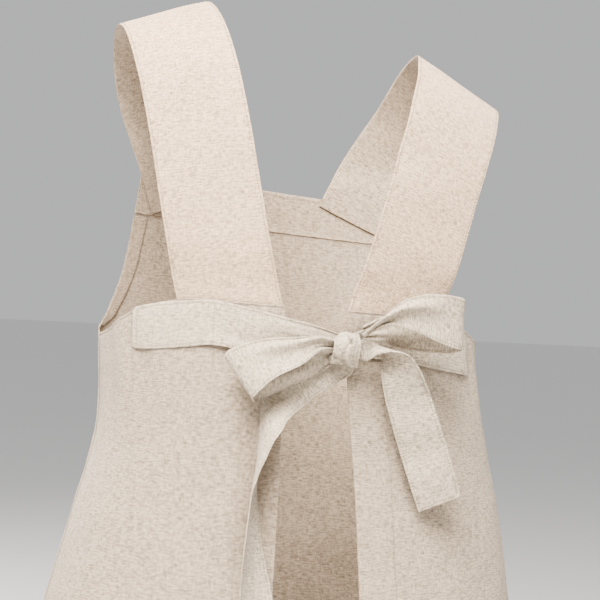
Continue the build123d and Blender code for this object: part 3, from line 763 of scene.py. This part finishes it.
def ribbon_piece(name, grid, thickness, rows=(), turn=0.0):
    """A ribbon with its stitches on both faces of both edges, and across some rows."""
    piece = cloth_piece(name, grid, thickness, TIE_LINEN_PAINTED_LIGHTER, turn=turn)
    parts = [at[4:-4, INSET], at[4:-4, -1 - INSET], *(at[row, 4:-4] for row in rows)]
    lines = stitch_paths(grid, thickness, *parts) + stitch_paths(grid, thickness, *parts, face=-1)
    return piece, stitching(name + "_stitching", lines)


# outer faces of the waist ties, top and low edge: x and z from the sewn end to the knot
WAIST_TIES = {
    "left": ([(157, -253.5), (136, -248), (113, -244.8), (89, -243.5), (57, -248.8), (26, -255.5),
              (0, -261), (-24, -268)],
             [(155.5, -289.5), (136, -288), (113, -285), (89, -282), (57, -286.5), (26, -291),
              (0, -293), (-24, -291)]),
    "right": ([(-153, -263), (-135, -257.5), (-113, -252.3), (-90, -250), (-70, -254), (-50, -260.5),
               (-32, -267)],
              [(-157.5, -301), (-137, -298), (-113, -294.5), (-90, -291), (-70, -291.5), (-50, -292),
               (-32, -291)]),
}


def waist_tie(side_name, side):
    """Grid and thickness of a waist tie, laid on the back and pleated towards the knot."""
    top, low = (np.array(edge, float) for edge in WAIST_TIES[side_name])

    def place(points):
        x, z = points[:, 0], points[:, 1]
        laid = laid_on(np.maximum(x, 24) if side > 0 else np.minimum(x, -29), z, TIE)
        laid[:, 0] = x
        return laid

    def shape(t, w):
        pleats = ramp(t, 0.55, 0.98) * (1.1 * np.sin(2 * pi * (2.1 * w + 0.25 * np.sin(5 * t) + 0.3))
                                        + 0.3 * np.sin(2 * pi * 5.2 * w))
        moved = pleats + 0.25 * ripple((150 * t, 40 * w), 61 + side, 34)
        if side > 0:                # the left tie's top edge lies flat, and its low edge lifts
            moved = moved - (1 - ramp(t, 0.6, 0.8)) * (
                -0.5 * hump(w, 0, 0.12) + 3.2 * ramp(t, 0.30, 0.5) * ramp(w, 0.72, 1.0))
        return moved

    near, far = place(top), place(low)
    if side < 0:                    # the right tie's low edge gathers up as it nears the knot
        far[:, 2] += 5.5 * ramp(far[:, 0], -105, -40)
    grid, thickness = ribbon_grid(near, far, shape=shape)
    middle = grid.mean(1, keepdims=True)
    from_end = np.linalg.norm(middle - middle[:1], axis=-1)
    short = np.maximum(0, CORNER - from_end)
    inset = CORNER - np.sqrt(CORNER**2 - short**2)
    return middle + (grid - middle) * (1 - inset / HALF_TIE)[..., None], thickness


for side_name, side in SIDES:
    grid, thickness = waist_tie(side_name, side)
    seams = [int(np.argmin(np.abs(grid[:, 8, 0] - side * x))) for x in TIE_SEAMS]
    for row in seams:
        reach = np.linalg.norm(grid - grid[row], axis=-1)
        grid[..., 1] -= 0.6 * hump(reach, 0, 1.4)
    order = slice(None, None, -side)
    grid, thickness = grid[:, order], thickness[:, order]
    piece, thread = ribbon_piece(f"waist_tie_{side_name}", grid, thickness, rows=seams, turn=pi / 2)
    fit(piece, [f"tie_{side_name}_anchor", f"tie_{side_name}_span"], "apron",
        [thread])

# loops: each edge from the knot, out along the layer by the body, round the fold and back
LEFT_LOOP = ([(-20, 129, -278), (6, 129, -272.5), (32, 131, -276), (60, 132, -283), (78, 135, -288),
              (82.5, 138.5, -291), (78, 141.5, -284), (54, 141, -275), (26, 140, -271.5), (2, 139, -270),
              (-20, 135, -278)],
             [(-20, 127, -289), (8, 127, -312), (30, 130, -323), (46, 132, -328), (54, 135, -328.5),
              (56, 141, -326), (57, 148.5, -323), (41, 155, -306), (18, 153, -294), (-1, 145, -281),
              (-20, 135, -281.5)])
RIGHT_LOOP = ([(-40, 129, -259), (-58, 130, -250), (-80, 132, -240), (-105, 133, -236),
               (-122, 135, -235), (-128.5, 141, -233), (-123, 148, -230), (-104, 152, -228),
               (-86, 153, -229.5), (-69, 151, -236), (-54, 146, -251), (-38, 139, -266)],
              [(-41, 127, -270), (-58, 128, -272), (-78, 129.5, -277), (-100, 131, -279.5),
               (-121, 133, -279), (-129.5, 140, -275.5), (-121, 147, -274.5), (-106, 151, -270.5),
               (-88, 153, -263.5), (-71, 152, -258), (-55, 148, -257.5), (-39, 138, -269)])


def loop_shape(direction, seed, crown, trough):
    """Cross shape of a loop's ribbon: a valley below the top edge of its outer layer."""
    def shape(t, w):
        outer = ramp(t, 0.56, 0.72)
        near_knot = ramp(t, 0.70, 1.0) + ramp(1 - t, 0.80, 1.0)
        valley = outer * (crown * hump(w, 0.08, 0.10) - 5.0 * hump(w, 0.27, 0.15)
                          + 2.2 * hump(w, 0.66, 0.26))
        valley = valley + (1 - ramp(t, 0.34, 0.46)) * ramp(t, 0.06, 0.18) * trough * (
            3.5 * hump(w, 0.64, 0.15) - 9.0 * hump(w, 1.0, 0.12))
        pleats = 0.9 * near_knot * np.sin(2 * pi * (3.1 * w + 0.3 * np.sin(7 * t)))
        slack = 0.35 * ripple((160 * t, 40 * w), seed, 36)
        ends = 1 - ramp(t, 0.93, 1.0)
        return direction * (valley * ends + pleats + slack)
    return shape


# on the outer layer the left loop runs towards -X and the right one towards +X
for side_name, side, edges, *bend in (("left", 1, LEFT_LOOP, 71, 2.5, 1.0),
                                      ("right", -1, RIGHT_LOOP, 73, 0.0, 0.5)):
    grid, thickness = ribbon_grid(*edges, step=2.2, shape=loop_shape(side, *bend))
    order = slice(None, None, side)
    grid, thickness = grid[:, order], thickness[:, order]
    piece, thread = ribbon_piece(f"bow_loop_cloth_{side_name}", grid, thickness)
    fit(piece, [f"bow_loop_{side_name}"], f"{side_name}_loop",
        [thread])

# free ends: each edge from inside the knot down to the cut end
LEFT_END = ([(-34, 128, -292), (-32, 122.8, -303), (-3, 125, -321.6), (11.5, 129.5, -333),
             (25.6, 143, -342.8), (33, 155.5, -350.5), (40.5, 159, -361.5), (49, 161, -380.5),
             (56.5, 160.8, -401.4), (59.8, 163, -421.5), (61.7, 164.8, -444), (63.3, 165.6, -471),
             (64, 165.5, -500), (64.3, 166, -530), (64.5, 167.5, -560), (64.5, 169, -590)],
            [(-22, 128, -279), (-13, 122.8, -286.5), (16, 122.7, -293), (34, 121.5, -309),
             (45, 121.8, -329), (47, 122.4, -341), (47.5, 122.6, -356), (47, 123, -376), (46, 123.5, -398),
             (44.8, 127, -420), (41.5, 131.5, -445), (36, 137.8, -472), (31, 144, -500),
             (29, 148.5, -530), (27.8, 152.8, -560), (27, 157, -590)])
RIGHT_END = ([(-37, 131, -277), (-44.8, 132, -275), (-49, 132, -273), (-55, 132, -276),
              (-58, 132, -283), (-58, 132, -295), (-61, 133, -313.3), (-66, 131, -330),
              (-79, 129, -366), (-90, 128, -395), (-101, 127, -422)],
             [(-37, 133, -288), (-44.6, 136, -289), (-50, 146, -283), (-62, 153, -280),
              (-76, 155, -283), (-88, 151, -294), (-97.5, 144.7, -310.3), (-104, 142, -324),
              (-117, 138, -354), (-128, 135, -381), (-137.5, 133, -406)])


def end_shape(seed, swell, hollow):
    """Cross shape of a free end: bowed by swell, and by hollow further down."""
    def shape(t, w):
        return ((swell + hollow * ramp(t, 0.42, 0.62)) * np.sin(pi * w) * ramp(t, 0.25, 0.6)
                + 0.5 * ripple((260 * t, 40 * w), seed, 55) * ramp(t, 0.05, 0.2)
                + 0.16 * ripple((260 * t, 40 * w), seed + 1, 13))
    return shape


for side_name, edges, nodes, *bend in (
        ("left", LEFT_END, ("tie_left_fall", "tie_left_tail"), 81, -1.2, -4.0),
        ("right", RIGHT_END, ("tie_right_curl", "tie_right_tail"), 83, 1.0, 0.0)):
    grid, thickness = ribbon_grid(*edges, step=2.4, shape=end_shape(*bend))
    piece, thread = ribbon_piece(f"tie_end_{side_name}", grid, thickness, rows=[-1 - INSET])
    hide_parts(*nodes)
    for part in (piece, thread):
        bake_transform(part)

# the knot: a turn of the ribbon wrapped round the others, its edges tucked in
KNOT, KNOT_HALF = (-24.9, 133.0, -280.0), 16.2     # centre, and half height where creases are placed
turn = np.linspace(0, 2 * pi, 145)[:-1]
rolled = [(-7, 0.45), (-11, 0.62), (-12.9, 0.80), (-13.4, 0.93), (-12.8, 1.02)]
profile = np.array(rolled + [(x, 1) for x in np.linspace(-12, 12, 48)]
                   + [(-x, r) for x, r in rolled[::-1]])
spots, shares = profile[:, :1], profile[:, 1:]      # place along the knot, and share of its radius
slant = spots + 3.2 * np.cos(turn)[None, :] - 1.0
crease = sum(depth * hump(slant, centre, 0.8) for centre, depth in ((-9.0, 0.7), (-4.6, 0.5), (6.5, 0.5)))
swell = 1 + 0.04 * np.cos(2 * turn)[None, :] + 0.03 * ripple((spots, 12 * np.cos(turn)[None, :],
                                                            12 * np.sin(turn)[None, :]), 91, 14)
facing_out, upward = np.cos(turn - 0.3)[None, :], np.sin(turn - 0.3)[None, :]
# where the wrap's folds meet: a V at the top, with one crease on down across the front
creases = [((2, 17), (-0.5, 12.5), (-2.6, 9), (-3.2, 6)),
           ((-2.6, 9), (1, 3), (3, -5), (2, -12)), ((-2, -17), (4, -11), (13, -7))]
flat = np.stack(np.broadcast_arrays(spots, KNOT_HALF * upward), -1)
for bend, depth in zip(creases, (4.2, 0.7, 1.2)):
    line = spline(bend, np.linspace(0, len(bend) - 1, 60))
    gap = np.linalg.norm(flat[:, :, None] - line[None, None], axis=-1).min(-1)
    crease = crease + depth * np.exp(-(gap / 1.1) ** 2) * ramp(facing_out, -0.1, 0.3)
    crease = crease - 0.6 * hump(gap, 3.4, 1.9) * ramp(facing_out, -0.1, 0.3)
above, below = ramp(upward, 0.1, 0.9), ramp(-upward, 0.1, 0.9)
shoulder = (above * (8.0 * ramp(spots, 3.5, 13) + 1.5 * ramp(-spots, 1, 7))
            + 3.0 * ramp(spots, -7, 1) * below)
# the wrap's upper edge crosses the layer that comes from above
edge_height = np.interp(-spots, [-2, 0.5, 2.6, 6], [17, 12.5, 9, 6])
crease = crease + (3.0 * ramp(KNOT_HALF * upward - edge_height, -0.4, 1.2) * ramp(facing_out, -0.1, 0.3)
                   * (1 - ramp(-spots, 2.5, 6)))
turned = 3.2 * ramp(-spots, 3, 12) * ramp(facing_out, 0, 0.5)
radius_y = (12.6 * swell * (1 + 0.3 * upward) - crease - turned) * shares
radius_z = (16.0 * swell - crease - shoulder) * shares
wide = np.where(spots < 0, 0.88 - 0.14 * above, 1.0)
knot_grid = np.stack([spots * wide + 0.8 * np.cos(turn + 0.6)[None, :], radius_y * facing_out,
                      radius_z * upward], -1) + KNOT
rings, around = knot_grid.shape[:2]
index = np.arange(rings * around).reshape(rings, around)
wrapped = np.concatenate([index, index[:, :1]], 1)
faces = quads(wrapped)[:, ::-1].tolist() + [index[0].tolist(), index[-1, ::-1].tolist()]
knot_uv = np.stack(np.broadcast_arrays(spots, 14 * turn), -1)
lean = radians(35)
knot_uv = knot_uv @ np.array([[cos(lean), sin(lean)], [-sin(lean), cos(lean)]])
knot = make_piece("bow_wrap", knot_grid.reshape(-1, 3), faces, knot_uv.reshape(-1, 2), TIE_LINEN_PAINTED_LIGHTER)
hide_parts("bow_knot")
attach(knot, "apron")

# ---- floor, light and camera ----
def plain_material(name, colour):
    n = Nodes(name)
    spread = n.noise(n.add("ShaderNodeTexCoord").outputs["Object"], 3.0, 3.0)
    shade = n.add("ShaderNodeValToRGB", {"Fac": spread})
    shade.color_ramp.elements[0].color = (*[c * 0.97 for c in colour], 1)
    shade.color_ramp.elements[1].color = (*colour, 1)
    shader = n.add("ShaderNodeBsdfPrincipled", {"Base Color": shade.outputs["Color"], "Roughness": 0.8})
    return n.surface(shader)


floor_mesh = bpy.data.meshes.new("floor")
half, ground = 30.0, cad_box[0][2] - 0.004      # metres; just clear of the hem
floor_mesh.from_pydata([(x * half, y * half, ground) for x, y in ((-1, -1), (1, -1), (1, 1), (-1, 1))],
                       [], [(0, 1, 2, 3)])
floor_mesh.materials.append(plain_material("floor_paint", (0.84, 0.835, 0.82)))
floor = bpy.data.objects.new("floor", floor_mesh)
bpy.context.scene.collection.objects.link(floor)

world = bpy.data.worlds.new("studio")
bpy.context.scene.world = world
world.use_nodes = True
world.node_tree.nodes["Background"].inputs["Color"].default_value = (0.98, 0.985, 1.0, 1)
world.node_tree.nodes["Background"].inputs["Strength"].default_value = 0.6

CAMERA = (0.2848, 1.3861, -0.239)
AHEAD = Vector((-0.208, -0.978, 0)).normalized()
ROLL, FIELD_OF_VIEW = radians(3), radians(23)


def soft_light(name, place, target, size, power, colour):
    light = bpy.data.lights.new(name, "AREA")
    light.shape, light.size, light.energy, light.color = "DISK", size, power, colour
    lamp = bpy.data.objects.new(name, light)
    lamp.location = place
    lamp.rotation_euler = (Vector(target) - lamp.location).to_track_quat("-Z", "Y").to_euler()
    bpy.context.scene.collection.objects.link(lamp)


# "left" of the picture is towards +X, because the camera looks at the back
soft_light("key", (0.36, 0.82, 0.88), (0, 0.05, -0.25), 0.9, 142, (1.0, 0.95, 0.88))
soft_light("fill", (-1.6, 1.2, 0.2), (0, 0, -0.3), 1.6, 5, (0.95, 0.97, 1.0))
soft_light("front", (1.5, -1.7, 0.75), (0, 0, -0.4), 0.9, 95, (1.0, 0.97, 0.93))

camera_data = bpy.data.cameras.new("camera")
camera_data.sensor_width = 36
camera_data.lens = 18 / tan(FIELD_OF_VIEW / 2)
camera_data.clip_start = 0.05
camera = bpy.data.objects.new("camera", camera_data)
bpy.context.scene.collection.objects.link(camera)
up = Vector((0, 0, 1))
aside = AHEAD.cross(up)
columns = (aside * cos(ROLL) + up * sin(ROLL), up * cos(ROLL) - aside * sin(ROLL), -AHEAD)
camera.matrix_world = Matrix.Translation(CAMERA) @ Matrix(columns).transposed().to_4x4()
bpy.context.scene.camera = camera
